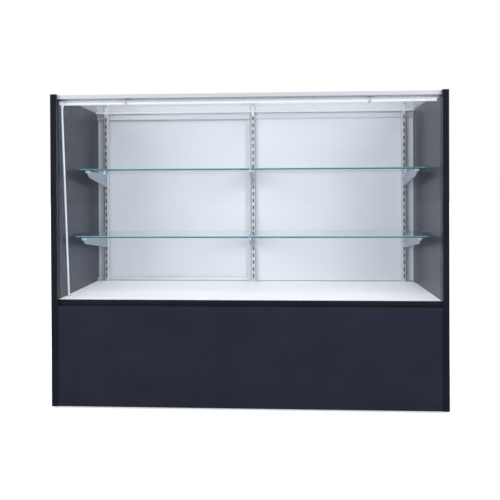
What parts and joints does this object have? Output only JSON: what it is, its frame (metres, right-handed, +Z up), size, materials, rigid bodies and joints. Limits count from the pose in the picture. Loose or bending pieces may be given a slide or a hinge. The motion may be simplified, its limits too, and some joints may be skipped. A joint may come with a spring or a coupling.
{
  "type": "display case",
  "caption": "Counter-height glass display case with dark panels, glass shelves on slotted standards, a light bar and sliding rear doors.",
  "frame": {"origin": "on the floor, under the middle of the case", "axes": "+X to the right seen from the glass front, +Y towards the doors at the rear, +Z up"},
  "size_m": [1.219, 0.508, 0.975],
  "materials": {
    "dark_board": "black melamine board",
    "white_board": "white melamine board",
    "white_door": "white faced hardboard",
    "dark_rail": "black anodised extrusion",
    "clear_glass": "clear float glass with green edges",
    "shelf_glass": "clear float glass with green edges",
    "gasket": "clear vinyl",
    "silver_rail": "satin anodised extrusion",
    "zinc_steel": "zinc plated",
    "standard_steel": "satin nickel plated",
    "bracket_steel": "pale grey paint",
    "clear_plastic": "frosted clear plastic",
    "pull_plastic": "moulded grey plastic",
    "shoe_nylon": "natural nylon",
    "light_metal": "satin anodised extrusion",
    "light_board": "white circuit board",
    "light_diffuser": "opal diffuser",
    "white_plastic": "moulded white plastic",
    "lead_sheath": "white cable sheath",
    "foot_plastic": "moulded black plastic"
  },
  "bodies": {
    "case": {"left_end_panel": "dark_board", "right_end_panel": "dark_board", "front_panel": "dark_board", "deck": "white_board", "base_floor": "dark_board", "deck_batten": "dark_board", "rear_stretcher": "dark_board", "kick_rail": "dark_board", "front_sill_rail": "dark_rail", "front_glass": "clear_glass", "front_glass_gaskets": "gasket", "top_front_rail": "silver_rail", "top_glass": "clear_glass", "head_track": "silver_rail", "sill_track": "silver_rail", "track_screws": "zinc_steel", "left_standard": "standard_steel", "centre_standard": "standard_steel", "right_standard": "standard_steel", "standard_foot_plates": "standard_steel", "standard_hangers": "standard_steel", "standard_screws": "zinc_steel", "lower_left_bracket": "bracket_steel", "lower_centre_bracket": "bracket_steel", "lower_right_bracket": "bracket_steel", "upper_left_bracket": "bracket_steel", "upper_centre_bracket": "bracket_steel", "upper_right_bracket": "bracket_steel", "lower_bracket_saddles": "clear_plastic", "upper_bracket_saddles": "clear_plastic", "light_housing": "light_metal", "light_board": "light_board", "light_diffuser": "light_diffuser", "light_left_cap": "white_plastic", "light_right_cap": "white_plastic", "light_clips": "clear_plastic", "light_clip_screws": "zinc_steel", "light_lead": "lead_sheath", "deck_grommet": "white_plastic", "light_driver": "white_plastic", "driver_screws": "zinc_steel", "foot_inserts": "zinc_steel", "cam_bolts": "zinc_steel", "cam_locks": "zinc_steel"},
    "left_door": {"left_door": "white_door", "left_door_pull": "pull_plastic", "left_door_shoes": "shoe_nylon"},
    "right_door": {"right_door": "white_door", "right_door_pull": "pull_plastic", "right_door_shoes": "shoe_nylon"},
    "lower_left_shelf": {"lower_left_shelf": "shelf_glass"},
    "lower_right_shelf": {"lower_right_shelf": "shelf_glass"},
    "upper_left_shelf": {"upper_left_shelf": "shelf_glass"},
    "upper_right_shelf": {"upper_right_shelf": "shelf_glass"},
    "front_left_foot": {"front_left_foot": "foot_plastic"},
    "front_right_foot": {"front_right_foot": "foot_plastic"},
    "rear_left_foot": {"rear_left_foot": "foot_plastic"},
    "rear_right_foot": {"rear_right_foot": "foot_plastic"}
  },
  "joints": [
    {"name": "left_door_slide", "type": "slide", "parent": "case", "child": "left_door", "axis": [1, 0, 0], "range_m": [0, 0.56]},
    {"name": "right_door_slide", "type": "slide", "parent": "case", "child": "right_door", "axis": [1, 0, 0], "range_m": [-0.56, 0]},
    {"name": "lower_left_shelf_lift", "type": "slide", "parent": "case", "child": "lower_left_shelf", "axis": [0, 0, 1], "range_m": [0, 0.012]},
    {"name": "lower_right_shelf_lift", "type": "slide", "parent": "case", "child": "lower_right_shelf", "axis": [0, 0, 1], "range_m": [0, 0.012]},
    {"name": "upper_left_shelf_lift", "type": "slide", "parent": "case", "child": "upper_left_shelf", "axis": [0, 0, 1], "range_m": [0, 0.012]},
    {"name": "upper_right_shelf_lift", "type": "slide", "parent": "case", "child": "upper_right_shelf", "axis": [0, 0, 1], "range_m": [0, 0.012]},
    {"name": "front_left_foot_turn", "type": "hinge", "parent": "case", "child": "front_left_foot", "pos_m": [-0.6, -0.214, 0], "axis": [0, 0, 1], "continuous": true},
    {"name": "front_right_foot_turn", "type": "hinge", "parent": "case", "child": "front_right_foot", "pos_m": [0.6, -0.214, 0], "axis": [0, 0, 1], "continuous": true},
    {"name": "rear_left_foot_turn", "type": "hinge", "parent": "case", "child": "rear_left_foot", "pos_m": [-0.6, 0.214, 0], "axis": [0, 0, 1], "continuous": true},
    {"name": "rear_right_foot_turn", "type": "hinge", "parent": "case", "child": "rear_right_foot", "pos_m": [0.6, 0.214, 0], "axis": [0, 0, 1], "continuous": true}
  ]
}
